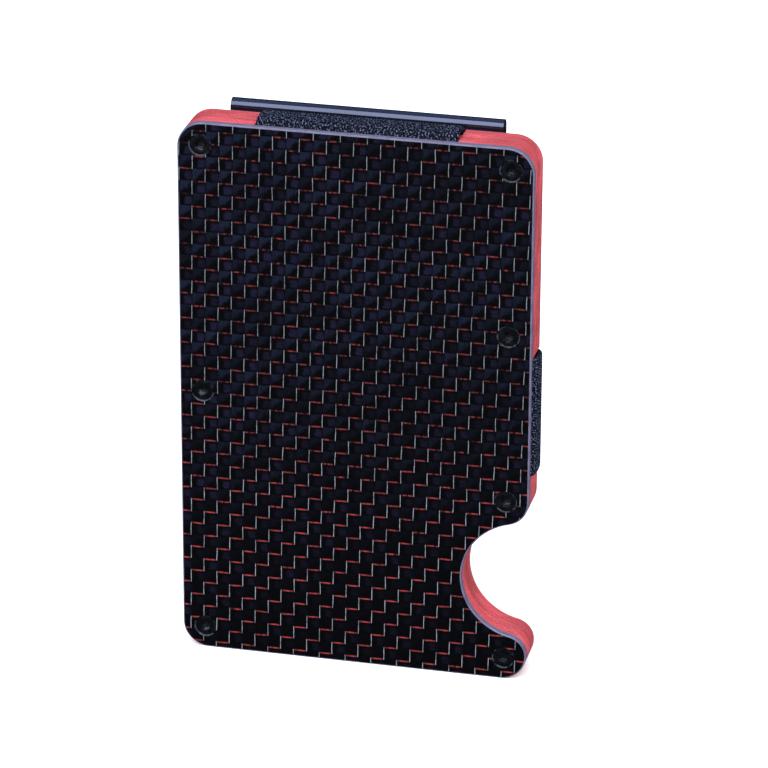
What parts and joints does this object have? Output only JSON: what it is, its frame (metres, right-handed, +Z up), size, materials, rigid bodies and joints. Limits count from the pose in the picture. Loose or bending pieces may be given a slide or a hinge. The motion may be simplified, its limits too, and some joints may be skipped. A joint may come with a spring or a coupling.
{
  "type": "card wallet with money clip",
  "caption": "Slim card wallet: carbon-faced red plates sprung together by elastic bands, with a thumb notch and a spring-steel money clip behind.",
  "frame": {"origin": "middle of the bottom edge, on the plane where the two inner plates meet", "axes": "+X to the right seen from the front, +Z up towards the rolled end of the clip, -Y out of the front plate"},
  "size_m": [0.0545, 0.0098, 0.0872],
  "materials": {
    "carbon_weave": "glossy clear coat over woven carbon with red and silver tracer threads",
    "red_anodised": "satin coral-red anodised aluminium",
    "black_screw_steel": "black oxide, satin",
    "black_elastic": "black knitted elastic",
    "bright_wire": "drawn steel wire",
    "black_spring_steel": "gloss black coating on spring steel"
  },
  "bodies": {
    "front_half": {"front_outer_plate": "carbon_weave", "front_inner_plate": "red_anodised", "front_plate_screws": "black_screw_steel", "top_elastic_band": "black_elastic", "side_elastic_band": "black_elastic", "top_hem_wire_front": "bright_wire", "side_hem_wire_front": "bright_wire"},
    "rear_half": {"rear_inner_plate": "red_anodised", "rear_outer_plate": "carbon_weave", "rear_plate_screws": "black_screw_steel", "clip_screws": "black_screw_steel", "clip_base": "black_spring_steel", "top_hem_wire_rear": "bright_wire", "side_hem_wire_rear": "bright_wire"},
    "clip_tongue": {"clip_tongue": "black_spring_steel"}
  },
  "joints": [
    {"name": "card_gap", "type": "slide", "parent": "front_half", "child": "rear_half", "axis": [0, 1, 0], "range_m": [0, 0.009], "stiffness_N_per_m": 400, "springref_m": -0.004, "deforming": ["top_elastic_band", "side_elastic_band"]},
    {"name": "clip_flex", "type": "hinge", "parent": "rear_half", "child": "clip_tongue", "pos_m": [0, 0.00495, 0.08605], "axis": [1, 0, 0], "range_deg": [0, 6], "stiffness_Nm_per_rad": 1.2, "springref_deg": -2.86}
  ]
}
